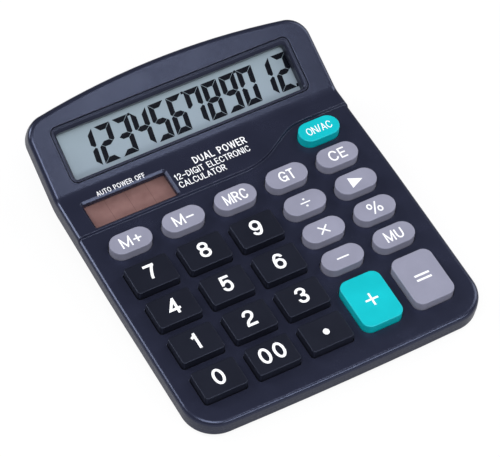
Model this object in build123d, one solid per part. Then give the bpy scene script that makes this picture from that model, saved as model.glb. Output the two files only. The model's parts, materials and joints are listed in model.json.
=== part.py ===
from build123d import *
import os
from math import cos, radians, sin

# A desk calculator: a wedge-shaped case with a tilted display head, twenty-six spring-back keys and a
# battery door. Millimetres. X is across the keys, Y runs from the front edge to the back, Z is up.
# The model is built with the deck's origin, close behind the front edge, at Y = 0 and the table at Z = 0,
# and every piece is moved at the end so that the origin is at the middle of the footprint.

# ------------------------------------------------------------------ case, overall
WIDTH = 121.3             # case width over the front of the deck
DECK_TILT = 7.5           # key deck against the table, degrees
HEAD_TILT = 32.5          # display head against the table, degrees
DECK_LENGTH = 110.9       # deck's origin to the crease, up the deck
HEAD_LENGTH = 36.35       # crease to the crown of the rear edge, up the head
FRONT_HEIGHT = 9.0        # height of the deck's origin above the table
STEP = 1.0                # the plateau behind the keys stands this much above the deck
CREASE_RADIUS = 7.0       # hollow radius where the deck turns up into the head
FRONT_EDGE = -1.2         # middle of the front edge, up the deck from the deck's origin
FRONT_BOW = 0.9           # the front edge is bowed forward by this much in the middle
SIDE_TURN = 68.0          # the sides run straight to here up the deck, then lean in towards the rear
SIDE_REAR = (200.0, 2.0)  # a point on each leaning side: how far up the deck, and how far in
SIDE_TURN_RADIUS = 900.0  # bend between the two runs
FRONT_CORNER = 13.0       # plan radius of the front corners
REAR_DROP = 5.8           # the rear edge falls this much from its crown to each side
REAR_CORNER = 9.0         # plan radius of the rear corners
EDGE_RADIUS = 1.8         # rounding of the upper case's outer edge
WALL = 1.8                # wall thickness
FAR = 90.0                # reach of a cutting shape beyond the case

# ------------------------------------------------------------------ how the case divides
SPLIT = 4.2               # parting line below the deck
RIM = 8.1                 # underside of the rim below the deck
SPLIT_INSET = 0.25        # the lower case stands in from the upper case at the parting line
LIP_HEIGHT = 1.4          # locating lip of the lower case inside the upper one
LIP_THICKNESS = 1.0
LIP_GAP = 0.15
RIM_RADIUS = 1.4          # rounding under the rim
BASE_Z = 1.2              # underside of the base plate above the table
FLOOR_Z = BASE_Z + WALL
BELLY_TOP = (110.0, 4.0, 140.5)     # belly where it leaves the rim: width, front and rear along the deck
BELLY_BOTTOM = (86.6, 8.0, 135.0)   # belly 25 mm further down
BELLY_DROP = 25.0
BELLY_CORNER = 8.0

# ------------------------------------------------------------------ plateau edge, solar cell, display
PLATEAU_LEFT = 92.3       # plateau edge up the deck, left of the swoop
PLATEAU_RIGHT = 103.1     # the same, right of the swoop
SWOOP = (17.15, 35.25)    # X where the swoop leaves the left run and meets the right run
SWOOP_RADII = (28.0, 18.0)
STEP_LEAN = 0.55          # the step leans back by this much for each millimetre of its height
SOLAR_CENTRE = (-34.65, 100.1)
SOLAR_OPENING = (34.0, 11.4)
SOLAR_CORNER = 0.6
SOLAR_PLATE_CORNER = 0.4
SOLAR_CHAMFER = 0.9
SOLAR_WINDOW = 0.8        # thickness of the clear window and of the cell behind it
SOLAR_CELL = 1.1
DISPLAY_CENTRE = (-0.35, 14.8)      # bezel centre on the head, from the crease
BEZEL = (100.9, 22.2)
BEZEL_RADIUS = 2.6
BEZEL_GAP = 0.3
BEZEL_DEPTH = 5.0
BEZEL_SUNK = 0.15         # its rim lies this much below the head
BEZEL_STEP = 0.5          # depth of the step inside its rim
BEZEL_SLOPE = 1.3         # depth where the sloped border ends
WINDOW = (97.3, 18.9)     # clear opening inside the bezel
WINDOW_RADIUS = 1.2
WINDOW_DROP = 0.65        # the opening lies this much nearer the crease than the bezel's centre
LENS_THICKNESS = 0.8
LCD = (99.0, 20.4, 2.6)
DISPLAY_BOARD = (104.0, 19.0, 1.0)
STRIP_HEIGHT = 1.2
SLIVER = 0.05             # play between stacked pieces
LENS_TOP = BEZEL_DEPTH + SLIVER         # depths below the head
LCD_TOP = LENS_TOP + LENS_THICKNESS + SLIVER
STRIP_TOP = LCD_TOP + LCD[2]
DISPLAY_BOARD_TOP = STRIP_TOP + STRIP_HEIGHT
DISPLAY_BOARD_UNDER = DISPLAY_BOARD_TOP + DISPLAY_BOARD[2]

# ------------------------------------------------------------------ keys
KEYPAD_X = -0.65          # the middle column's centre
COLUMN_PITCH = 21.8
ROW_PITCH = 13.75
DIGIT_PITCH = 16.77
FIRST_ROW = 81.8          # the memory row up the deck
FIRST_DIGIT_ROW = 65.45
PILL = (16.7, 9.05)
TALL_KEY = (16.7, 21.8)
TALL_KEY_RADIUS = 3.6
DIGIT_KEY = (17.2, 12.3)
DIGIT_KEY_RADIUS = 1.1
KEY_HEIGHT = 3.7          # key top above the deck
KEY_EDGE = 0.35           # rounding of the key's top edge
KEY_GAP = 0.3             # key to the edge of its opening
KEY_TRAVEL = 1.2
KEY_SKIN = 1.3            # thickness of a key's top and sides
KEY_FOOT = 2.65           # lower end of a key's skirt below the deck
TAB_REACH = 1.2           # retaining tabs under the deck
TAB_THICKNESS = 0.7
POST_RADIUS = 1.9
POST_FOOT = 2.95

# ------------------------------------------------------------------ boards under the deck
DOME_TOP = POST_FOOT + KEY_TRAVEL + 0.1
DOME_HEIGHT = 0.65
DOME_RADII = (3.4, 2.3)
SHEET = 0.5
BOARD = 1.1
BOARD_SIZE = (103.0, 82.0)
BOARD_FRONT = 8.4
BOARD_REAR = BOARD_FRONT + BOARD_SIZE[1]
BOARD_CORNER = 2.0
CHIP_HEIGHT = 1.4
SHEET_TOP = DOME_TOP + DOME_HEIGHT      # depths below the deck
BOARD_TOP = SHEET_TOP + SHEET
BOARD_UNDER = BOARD_TOP + BOARD
BOARD_SCREW_SPOTS = [(-33.35, 23.6), (10.35, 27.0), (-33.35, 57.1),
                     (10.35, 59.3), (32.05, 33.6), (32.05, 61.2)]
BOARD_BOSS = 1.7          # radii of the pillars over the board and of their pilot holes
BOARD_PILOT = 0.7

# ------------------------------------------------------------------ battery, door, feet, screws
CELL_RADIUS = 7.25        # AA cell
CELL_LENGTH = 50.5
CELL_Y = 127.0
CELL_Z = FLOOR_Z + 0.5 + CELL_RADIUS
WELL_RADIUS = CELL_RADIUS + 0.35
WELL_WALL = 1.2
WELL_HALF = 30.0
DOOR = (58.0, 15.0)
DOOR_GAP = 0.2
DOOR_FRONT = 119.3
FOOT_RADIUS = 4.0
BATTERY_LEAD = 0.45       # radii of the leads
SOLAR_LEAD = 0.4
FOOT_SPOTS = [(-44.0, 17.0), (44.0, 17.0), (-37.5, 126.0), (37.5, 126.0)]
FRONT_SCREWS = [(-40.0, 6.1), (40.0, 6.1)]
FRONT_SEAT = 3.9          # top of the lower case's pads under the front bosses
FRONT_BOSS = 2.0          # radii of the upper case's screw bosses
REAR_BOSS = 2.6
PILOT = 0.95              # radius of the holes that the case screws cut their thread in
SCREW_HOLE = 1.3          # clearance for a case screw's shank
REAR_SCREWS = [(-40.0, 110.0), (40.0, 110.0)]
REAR_SEAT = 8.0           # height of the rear screw heads' seat
RECESS = 0.9              # depth of the front screw heads' recess in the base
FOOT_SOCKET = 0.4         # depth of the feet's sockets in the base
TONGUE_X = 18.0           # the door's two tongues lie this far to each side
CONTACT = (0.4, 9.0, 9.0)           # contact plates
TAG = (3.4, 2.6, 0.4)               # their solder tags, through slots in the well's ends
TAG_RISE = 3.0            # tag above the cell's axis
CONTACT_INSET = 0.3       # contact plate's middle from the well's end

DECK_NORMAL = Vector(0, -sin(radians(DECK_TILT)), cos(radians(DECK_TILT)))
HEAD_NORMAL = Vector(0, -sin(radians(HEAD_TILT)), cos(radians(HEAD_TILT)))
MID_TILT = radians((DECK_TILT + HEAD_TILT) / 2)
MID_NORMAL = Vector(0, -sin(MID_TILT), cos(MID_TILT))
X_DIR = (1, 0, 0)
DECK = Plane(origin=(0, 0, FRONT_HEIGHT), x_dir=X_DIR, z_dir=DECK_NORMAL)
PLATEAU = DECK.offset(STEP)
CREASE = PLATEAU.from_local_coords(Vector(0, DECK_LENGTH, 0))
HEAD = Plane(origin=CREASE, x_dir=X_DIR, z_dir=HEAD_NORMAL)
# the axis of the hollow crease, above the case
CREASE_AXIS = CREASE + (DECK_NORMAL + HEAD_NORMAL) * (CREASE_RADIUS / (1 + DECK_NORMAL.dot(HEAD_NORMAL)))


# ================================================================== case shapes
def skin_curve(depth):
    """Side view of the surface that lies depth below the plateau and head: line, arc, line."""
    radius = CREASE_RADIUS + depth
    front = PLATEAU.from_local_coords(Vector(0, -FAR, -depth))
    bend_start = CREASE_AXIS - DECK_NORMAL * radius
    bend_middle = CREASE_AXIS - MID_NORMAL * radius
    bend_end = CREASE_AXIS - HEAD_NORMAL * radius
    back = HEAD.from_local_coords(Vector(0, FAR, -depth))
    edges = [Line(front, bend_start), ThreePointArc(bend_start, bend_middle, bend_end), Line(bend_end, back)]
    return edges, front, back


def front_outline(inset):
    """Plan outline square to the deck: bowed front edge, round corners, sides that lean in behind."""
    half = WIDTH / 2 - inset
    front = (half, FRONT_EDGE + FRONT_BOW + inset)
    rear = (half - SIDE_REAR[1], SIDE_REAR[0])
    bow = ThreePointArc((-front[0], front[1]), (0, FRONT_EDGE + inset), front)
    ends = [front, (half, SIDE_TURN), rear, (-rear[0], rear[1]), (-half, SIDE_TURN), (-front[0], front[1])]
    face = make_face([bow, Polyline(*ends)])
    for side in (-1, 1):
        turn = face.vertices().sort_by_distance((side * half, SIDE_TURN, 0))[0]
        face = fillet(turn, SIDE_TURN_RADIUS)
    corners = face.vertices().sort_by(Axis.Y)[:2]
    return fillet(corners, FRONT_CORNER - inset)


def rear_outline(inset):
    """Everything in front of the arched rear edge, square to the head."""
    crown = HEAD_LENGTH - inset
    drop = REAR_DROP * (2 * FAR / WIDTH) ** 2
    arch = ThreePointArc((-FAR, crown - drop), (0, crown), (FAR, crown - drop))
    ends = [(FAR, crown - drop), (FAR, -4 * FAR), (-FAR, -4 * FAR), (-FAR, crown - drop)]
    return make_face([arch, Polyline(*ends)])


def layer(top, bottom, inset):
    """The slab of the case between two depths below the plateau and head, set in from the outline."""
    upper, upper_front, upper_back = skin_curve(top)
    lower, lower_front, lower_back = skin_curve(bottom)
    profile = make_face(upper + lower + [Line(upper_front, lower_front), Line(upper_back, lower_back)])
    slab = extrude(profile, amount=WIDTH, dir=X_DIR, both=True)
    slab &= PLATEAU * extrude(front_outline(inset), amount=2 * FAR, both=True)
    slab &= HEAD * extrude(rear_outline(inset), amount=2 * FAR, both=True)
    upright = [edge for edge in slab.edges() if abs(edge.center().X) > 0.4 * WIDTH
               and abs((edge % 0.5).dot(HEAD_NORMAL)) > cos(radians(HEAD_TILT))]
    corners = ShapeList(upright).sort_by(Axis.Y)[-2:]
    return fillet(corners, REAR_CORNER - inset)


def is_skin(face, side):
    """True for the upper (side 1) or lower (side -1) faces of a layer."""
    normal = face.normal_at(face.center()) * side
    return normal.dot(MID_NORMAL) > cos(radians(HEAD_TILT - DECK_TILT))


def round_rim(slab, side, radius):
    """Round the outer edge of a layer's upper or lower face."""
    faces = [face for face in slab.faces() if is_skin(face, side)]
    edges = [edge for face in faces for edge in face.edges()]
    rim = [edge for edge in edges if sum(edge.is_same(other) for other in edges) == 1]
    return fillet(rim, radius)


def plateau_region():
    """Everything behind the plateau's front edge, with its swoop around the clear key."""
    points = [(-FAR, PLATEAU_LEFT), (SWOOP[0], PLATEAU_LEFT), (SWOOP[1], PLATEAU_RIGHT), (FAR, PLATEAU_RIGHT)]
    face = make_face(Polyline(*points, (FAR, 3 * FAR), (-FAR, 3 * FAR), close=True))
    for point, radius in zip(points[1:3], SWOOP_RADII):
        corner = face.vertices().sort_by_distance(point + (0,))[0]
        face = fillet(corner, radius)
    return DECK * extrude(face, amount=FAR, dir=(0, STEP_LEAN, 1), both=True)


def belly(inset, floor):
    """The inset underside below the rim, with leaning sides and a flat base."""
    levels = []
    for size, depth in ((BELLY_TOP, RIM - 1), (BELLY_BOTTOM, RIM + BELLY_DROP)):
        width, front, rear = size
        shape = RectangleRounded(width - 2 * inset, rear - front - 2 * inset, BELLY_CORNER - inset)
        levels.append(DECK * Pos(0, (front + rear) / 2, -depth) * shape)
    lower = loft(Sketch() + levels)
    width, front, rear = BELLY_TOP
    upper_shape = RectangleRounded(width - 2 * inset, rear - front - 2 * inset, BELLY_CORNER - inset)
    upper = DECK * Pos(0, (front + rear) / 2, -RIM + 1) * extrude(upper_shape, amount=FAR)
    above_floor = Pos(0, FAR, floor + FAR) * Box(4 * FAR, 4 * FAR, 2 * FAR)
    return (lower + upper) & above_floor & layer(STEP + SPLIT, 3 * FAR, SPLIT_INSET + inset)


# ================================================================== keys
def pill_face(grow):
    return SlotOverall(PILL[0] + 2 * grow, PILL[1] + 2 * grow)


def tall_face(grow):
    return RectangleRounded(TALL_KEY[0] + 2 * grow, TALL_KEY[1] + 2 * grow, TALL_KEY_RADIUS + grow)


def digit_face(grow):
    radius = max(DIGIT_KEY_RADIUS + grow, 0.3)
    return RectangleRounded(DIGIT_KEY[0] + 2 * grow, DIGIT_KEY[1] + 2 * grow, radius)


def column(number):
    return KEYPAD_X + (number - 2) * COLUMN_PITCH


def key_layout():
    """Name, outline and centre on the deck for every key."""
    pills = {
        "key_m_plus": (0, 0), "key_m_minus": (1, 0), "key_mrc": (2, 0), "key_gt": (3, 0), "key_ce": (4, 0),
        "key_on_ac": (4, -1), "key_divide": (3, 1), "key_arrow": (4, 1), "key_multiply": (3, 2),
        "key_percent": (4, 2), "key_minus": (3, 3), "key_mu": (4, 3),
    }
    keys = []
    for name, (col, row) in pills.items():
        keys.append((name, pill_face, column(col), FIRST_ROW - row * ROW_PITCH))
    tall_row = FIRST_ROW - 4.5 * ROW_PITCH
    keys.append(("key_plus", tall_face, column(3), tall_row))
    keys.append(("key_equals", tall_face, column(4), tall_row))
    digits = [("7", "8", "9"), ("4", "5", "6"), ("1", "2", "3"), ("0", "00", "point")]
    for row, names in enumerate(digits):
        for col, name in enumerate(names):
            keys.append(("key_" + name, digit_face, column(col), FIRST_DIGIT_ROW - row * DIGIT_PITCH))
    return keys


def make_key(face):
    """A hollow cap with a plunger post and two retaining tabs, centred on the deck's plane."""
    cap = Pos(0, 0, -KEY_FOOT) * extrude(face(0), amount=KEY_FOOT + KEY_HEIGHT)
    top = cap.faces().sort_by(Axis.Z)[-1]
    cap = fillet(top.edges(), KEY_EDGE)
    cap -= Pos(0, 0, -KEY_FOOT) * extrude(face(-KEY_SKIN), amount=KEY_FOOT + KEY_HEIGHT - KEY_SKIN)
    post = POST_FOOT + KEY_HEIGHT - KEY_SKIN / 2
    cap += Pos(0, 0, -POST_FOOT + post / 2) * Cylinder(POST_RADIUS, post)
    box = cap.bounding_box()
    tab = Box(KEY_SKIN + TAB_REACH, box.size.Y * 0.45, TAB_THICKNESS)
    for side in (-1, 1):
        x = side * (box.size.X / 2 + (TAB_REACH - KEY_SKIN) / 2)
        cap += Pos(x, 0, -KEY_FOOT + TAB_THICKNESS / 2) * tab
    return cap


# ================================================================== case halves
def screw_column(spot, radius, low, high):
    return Pos(spot[0], spot[1], (low + high) / 2) * Cylinder(radius, high - low)


def make_top_case(keys):
    outer = round_rim(layer(0, STEP + SPLIT, 0), 1, EDGE_RADIUS) & plateau_region()
    outer += round_rim(layer(STEP, STEP + SPLIT, 0), 1, EDGE_RADIUS) - plateau_region()
    case = outer - layer(STEP + WALL, STEP + SPLIT + 1, WALL)
    for _, face, x, y in keys:
        case -= DECK * Pos(x, y, -WALL - 1) * extrude(face(KEY_GAP), amount=WALL + 3)

    solar = PLATEAU * Pos(*SOLAR_CENTRE)
    case -= solar * extrude(RectangleRounded(*SOLAR_OPENING, SOLAR_CORNER), amount=8, both=True)
    flare = [RectangleRounded(SOLAR_OPENING[0] + 2 * grow, SOLAR_OPENING[1] + 2 * grow, SOLAR_CORNER + grow)
             for grow in (0.0, SOLAR_CHAMFER)]
    case -= solar * loft(Sketch() + [Pos(0, 0, -SOLAR_CHAMFER) * flare[0], flare[1]])

    window = RectangleRounded(BEZEL[0] + 2 * BEZEL_GAP, BEZEL[1] + 2 * BEZEL_GAP, BEZEL_RADIUS + BEZEL_GAP)
    case -= HEAD * Pos(*DISPLAY_CENTRE) * extrude(window, amount=8, both=True)

    for spot in FRONT_SCREWS:
        case += screw_column(spot, FRONT_BOSS, FRONT_SEAT, FRONT_HEIGHT - 0.6)
        case -= screw_column(spot, PILOT, FRONT_SEAT - 1, FRONT_HEIGHT - 1.4)
    for spot in REAR_SCREWS:
        case += screw_column(spot, REAR_BOSS, REAR_SEAT + 2.05, CREASE.Z - 2)
        case -= screw_column(spot, PILOT, REAR_SEAT + 2, CREASE.Z - 8)
    for spot in BOARD_SCREW_SPOTS:
        length = BOARD_TOP - WALL + 0.3
        case += DECK * Pos(*spot, -BOARD_TOP + length / 2) * Cylinder(BOARD_BOSS, length)
        case -= DECK * Pos(*spot, -BOARD_TOP + 1.4) * Cylinder(BOARD_PILOT, 2.8)
    return case


def well_profile(radius, floor):
    """Arch over the cell in side view, down to the floor."""
    arch = Pos(CELL_Y, CELL_Z) * Circle(radius)
    legs = Pos(CELL_Y, (CELL_Z + floor) / 2) * Rectangle(2 * radius, CELL_Z - floor)
    return Plane.YZ * (arch + legs)


def make_bottom_case():
    deck_rim = STEP + RIM
    deck_split = STEP + SPLIT
    outer = round_rim(layer(deck_split, deck_rim, SPLIT_INSET), -1, RIM_RADIUS) + belly(0, BASE_Z)
    inner = layer(deck_split - 1, deck_rim - WALL, SPLIT_INSET + WALL) + belly(WALL, FLOOR_Z)
    case = outer - inner
    lip_inset = WALL + LIP_GAP
    lip = layer(deck_split - LIP_HEIGHT, deck_split + 1, lip_inset)
    case += lip - layer(deck_split - LIP_HEIGHT - 1, deck_split + 2, lip_inset + LIP_THICKNESS)

    outer_arch = well_profile(WELL_RADIUS + WELL_WALL, FLOOR_Z - 0.5)
    well = extrude(well_profile(WELL_RADIUS, BASE_Z - 1), WELL_HALF, both=True)
    case += extrude(outer_arch, WELL_HALF + WELL_WALL, both=True)
    case -= well & (Pos(0, CELL_Y, FLOOR_Z + FAR) * Box(2 * FAR, 2 * FAR, 2 * FAR))
    door_y = DOOR_FRONT + DOOR[1] / 2
    case -= Pos(0, door_y, BASE_Z) * Box(DOOR[0], DOOR[1], 3 * WALL)
    for side in (-1, 1):
        case -= Pos(side * TONGUE_X, DOOR_FRONT - 0.5, FLOOR_Z + 1.1) * Box(7, 3, 2.2)
        tag_slot = Box(TAG[0] - 0.4, TAG[1] + 0.8, TAG[2] + 0.4)
        case -= Pos(side * (WELL_HALF + 0.5), CELL_Y, CELL_Z + TAG_RISE) * tag_slot

    for spot in FRONT_SCREWS:
        case += screw_column(spot, 2.2, FLOOR_Z - 0.5, FRONT_SEAT)
        case -= screw_column(spot, 2.2, FRONT_SEAT, FRONT_HEIGHT)
        case -= screw_column(spot, SCREW_HOLE, 0, FRONT_SEAT + 1)
        case -= screw_column(spot, 2.3, 0, BASE_Z + RECESS)
    for spot in REAR_SCREWS:
        case += screw_column(spot, 4.2, FLOOR_Z - 0.5, REAR_SEAT + 2)
        case -= screw_column(spot, SCREW_HOLE, 0, REAR_SEAT + 3)
        case -= screw_column(spot, 2.6, 0, REAR_SEAT)
    for spot in FOOT_SPOTS:
        case -= screw_column(spot, FOOT_RADIUS + 0.1, 0, BASE_Z + FOOT_SOCKET)
    return case


# ================================================================== display
def make_bezel():
    """A frame let into the head: a flat rim, a stepped and sloped inner border, and a deep tunnel."""
    frame = RectangleRounded(*BEZEL, BEZEL_RADIUS)
    block = Pos(0, 0, -BEZEL_DEPTH) * extrude(frame, amount=BEZEL_DEPTH - BEZEL_SUNK)
    flange = RectangleRounded(BEZEL[0] + 2.2, BEZEL[1] + 2.2, BEZEL_RADIUS + 1.1)
    block += Pos(0, 0, -STEP - WALL - 0.9) * extrude(flange, amount=0.8)
    opening = RectangleRounded(*WINDOW, WINDOW_RADIUS)
    centre = Pos(0, -WINDOW_DROP)
    block -= centre * extrude(opening, amount=BEZEL_DEPTH + 1, both=True)
    # the border steps down once, then slopes into the opening
    step = RectangleRounded(BEZEL[0] - 1.1, BEZEL[1] - 1.1, BEZEL_RADIUS - 0.55)
    block -= Pos(0, 0, -BEZEL_STEP) * extrude(step, amount=1)
    slope_top = RectangleRounded(BEZEL[0] - 1.9, BEZEL[1] - 1.9, BEZEL_RADIUS - 0.95)
    slope = [Pos(0, 0, -BEZEL_STEP) * slope_top, Pos(0, -WINDOW_DROP, -BEZEL_SLOPE) * opening]
    block -= loft(Sketch() + slope)
    for side in (-1, 1):
        x = side * (LCD[0] / 2 + 1.3)
        depth = DISPLAY_BOARD_TOP - BEZEL_DEPTH
        block += Pos(x, -1.5, -BEZEL_DEPTH - depth / 2 + 0.25) * Box(1.8, 10, depth + 0.5)
    return HEAD * Pos(*DISPLAY_CENTRE) * block


def display_plate(size, depth, shift=(0, 0), radius=0.5):
    """A flat plate square to the head, its upper face depth below the head."""
    shape = extrude(RectangleRounded(size[0], size[1], radius), amount=size[2])
    return HEAD * Pos(DISPLAY_CENTRE[0] + shift[0], DISPLAY_CENTRE[1] + shift[1], -depth - size[2]) * shape


def solar_plate(border, thickness, depth):
    """A flat plate behind the solar opening, its upper face depth below the deck."""
    shape = RectangleRounded(SOLAR_OPENING[0] + border, SOLAR_OPENING[1] + border, SOLAR_PLATE_CORNER)
    return DECK * Pos(*SOLAR_CENTRE, -depth - thickness) * extrude(shape, amount=thickness)


def flat_ribbon(points, thickness, width):
    """A flat cable of even thickness along points given in side view."""
    under = [(y, z - thickness) for y, z in reversed(points)]
    face = Plane.YZ * make_face(Polyline(*points, *under, close=True))
    return extrude(face, amount=width / 2, both=True)


# ================================================================== inner parts
def make_membrane(keys):
    shape = RectangleRounded(BOARD_SIZE[0] - 1, BOARD_SIZE[1] - 1, BOARD_CORNER)
    sheet = Pos(0, BOARD_FRONT + BOARD_SIZE[1] / 2, -BOARD_TOP) * extrude(shape, amount=SHEET)
    for _, _, x, y in keys:
        if y < BOARD_REAR - 4:
            dome = Cone(*DOME_RADII, DOME_HEIGHT + 0.1)
            sheet += Pos(x, y, -SHEET_TOP + DOME_HEIGHT / 2 - 0.05) * dome
    for spot in BOARD_SCREW_SPOTS:
        sheet -= Pos(*spot, -SHEET_TOP) * Cylinder(2.0, 4)
    return DECK * sheet


def make_board():
    board = extrude(RectangleRounded(*BOARD_SIZE, BOARD_CORNER), amount=BOARD)
    board = Pos(0, BOARD_FRONT + BOARD_SIZE[1] / 2, -BOARD_UNDER) * board
    for spot in BOARD_SCREW_SPOTS:
        board -= Pos(*spot, -BOARD_TOP) * Cylinder(0.9, 4)
    return DECK * board


def make_battery():
    body = Cylinder(CELL_RADIUS, CELL_LENGTH - 1.5, rotation=(0, 90, 0))
    body = fillet(body.edges(), 0.6)
    nub = Pos(CELL_LENGTH / 2 - 0.5, 0, 0) * Cylinder(2.75, 2.0, rotation=(0, 90, 0))
    return Pos(-0.4, CELL_Y, CELL_Z) * (body + nub)


def make_spring_contact():
    """Coil pushing on the cell's flat end, on a plate with a solder tag."""
    x = -WELL_HALF + CONTACT_INSET
    plate = Pos(x, CELL_Y, CELL_Z - 0.5) * Box(*CONTACT)
    tag = Pos(x - 1.6, CELL_Y, CELL_Z + TAG_RISE) * Box(*TAG)
    coil_length = 3.8
    path = Helix(pitch=coil_length / 3, height=coil_length, radius=3.2)
    wire_end = Plane(origin=path @ 0, z_dir=path % 0)
    coil = sweep(wire_end * Circle(0.3), path=path, is_frenet=True)
    coil = Pos(x + 0.2, CELL_Y, CELL_Z) * Rot(0, 90, 0) * coil
    return plate + tag + coil


def make_plate_contact():
    x = WELL_HALF - CONTACT_INSET
    plate = Pos(x, CELL_Y, CELL_Z - 0.5) * Box(*CONTACT)
    dimple = Pos(x - 1.2, CELL_Y, CELL_Z) * Cylinder(2.2, 2.2, rotation=(0, 90, 0))
    tag = Pos(x + 1.6, CELL_Y, CELL_Z + TAG_RISE) * Box(*TAG)
    return plate + dimple + tag


def wire(points, radius):
    """A thin lead along straight runs joined by tangent arcs."""
    path = FilletPolyline(*points, radius=2.0)
    start = Plane(origin=path @ 0, z_dir=path % 0)
    return sweep(start * Circle(radius), path=path)


def make_battery_leads():
    """A lead from each contact's tag forward to the underside of the main board."""
    leads = []
    solder = DECK.from_local_coords(Vector(0, BOARD_REAR - 3, -BOARD_UNDER))
    for side in (-1, 1):
        tag = Vector(side * (WELL_HALF + 2.6), CELL_Y, CELL_Z + 3.25 + BATTERY_LEAD)
        points = [tag,
                  tag + Vector(side * 1.5, -6, 0),
                  Vector(side * 30, 104, 13.0),
                  Vector(side * 26, solder.Y + 5, solder.Z - 2.5),
                  Vector(side * 24, solder.Y, solder.Z - 0.5)]
        leads.append(wire(points, BATTERY_LEAD))
    return leads


def make_solar_leads():
    """Two leads from the back of the solar cell to the main board's rear edge."""
    leads = []
    below = DECK_NORMAL * -SOLAR_LEAD
    cell_back = -STEP - 4.0
    for x in (-28.0, -24.0):
        start = PLATEAU.from_local_coords(Vector(x, SOLAR_CENTRE[1] - 2, cell_back - SLIVER))
        middle = DECK.from_local_coords(Vector(x + 3, BOARD_REAR + 3, -9.0))
        end = DECK.from_local_coords(Vector(x + 6, BOARD_REAR - 4, -7.15))
        leads.append(wire([start + below, middle, end + below], SOLAR_LEAD))
    return leads


def cross_screw(head_radius, head_height, shank_radius, length):
    """A pan-head self-tapping screw pointing up, its head's lower face at the origin."""
    head = Pos(0, 0, head_height / 2) * Cylinder(head_radius, head_height)
    head = fillet(head.edges().sort_by(Axis.Z)[0], head_height * 0.35)
    shank = Pos(0, 0, head_height + length / 2 - 0.1) * Cylinder(shank_radius, length + 0.2)
    slot = Box(head_radius * 1.2, head_radius * 0.28, head_height)
    return head + shank - slot - Rot(0, 0, 90) * slot


def make_case_screws():
    screws = [Pos(*spot, BASE_Z + RECESS - 0.8) * cross_screw(2.1, 0.8, 0.9, 4.6) for spot in FRONT_SCREWS]
    screws += [Pos(*spot, REAR_SEAT - 1.4) * cross_screw(2.3, 1.4, 0.9, 8) for spot in REAR_SCREWS]
    return screws


def make_board_screws():
    screw = cross_screw(1.7, 1.0, 0.65, 3.4)
    return [DECK * Pos(*spot, -BOARD_UNDER - 1.0) * screw for spot in BOARD_SCREW_SPOTS]


def make_feet():
    feet = []
    for spot in FOOT_SPOTS:
        height = BASE_Z + FOOT_SOCKET
        foot = Pos(*spot, height / 2) * Cylinder(FOOT_RADIUS, height)
        feet.append(fillet(foot.edges().sort_by(Axis.Z)[0], 0.4))
    return feet


def make_door():
    """Base-plate door: two tongues at the front edge, a finger dip and grip ribs at the rear."""
    size_x = DOOR[0] - 2 * DOOR_GAP
    size_y = DOOR[1] - 2 * DOOR_GAP
    centre_y = DOOR_FRONT + DOOR[1] / 2
    door = Pos(0, centre_y, BASE_Z + WALL / 2) * Box(size_x, size_y, WALL)
    for side in (-1, 1):
        door += Pos(side * TONGUE_X, DOOR_FRONT + 0.3, FLOOR_Z + 0.55) * Box(6, 3.6, 0.7)
        door += Pos(side * TONGUE_X, DOOR_FRONT + 1.4, FLOOR_Z + 0.2) * Box(6, 1.4, 1.0)
    dip = Pos(0, centre_y + size_y / 2 - 1.8, BASE_Z) * Box(16, 2.4, 1.2)
    door -= dip
    for number in range(5):
        y = centre_y + 3.4 - number * 1.5
        door -= Pos(0, y, BASE_Z) * Box(14, 0.6, 0.6)
    return door


def make_display_ribbon():
    """Flat cable from under the main board's rear edge to under the display board."""
    stops = [DECK.from_local_coords(Vector(0, BOARD_REAR - 5, -BOARD_UNDER)),
             DECK.from_local_coords(Vector(0, BOARD_REAR + 2, -BOARD_UNDER)),
             DECK.from_local_coords(Vector(0, BOARD_REAR + 14, -BOARD_UNDER - 3)),
             HEAD.from_local_coords(Vector(0, 3.5, -DISPLAY_BOARD_UNDER)),
             HEAD.from_local_coords(Vector(0, 8.5, -DISPLAY_BOARD_UNDER))]
    return flat_ribbon([(stop.Y, stop.Z) for stop in stops], 0.3, 34)


def make_chip():
    """The processor under its round cap of resin, under the main board."""
    cap = Cone(5.5, 7, CHIP_HEIGHT)
    cap = fillet(cap.edges().sort_by(Axis.Z)[0], 0.6)
    return DECK * Pos(-8, 70, -BOARD_UNDER - CHIP_HEIGHT / 2) * cap


def make_components():
    """Two capacitors, a diode and a resistor lying under the main board."""
    lying = [(6, 72, 2.5, 6.5), (14, 72, 2.0, 5.0), (20, 79, 1.0, 4.5), (-20, 74, 1.1, 5.0)]
    bodies = []
    for x, y, radius, length in lying:
        body = Cylinder(radius, length, rotation=(90, 0, 0))
        body = fillet(body.edges(), 0.3)
        foot = Pos(0, 0, radius - 0.25) * Box(radius, length * 0.6, 0.5)
        bodies.append(DECK * Pos(x, y, -BOARD_UNDER - radius) * (body + foot))
    return bodies


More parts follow.
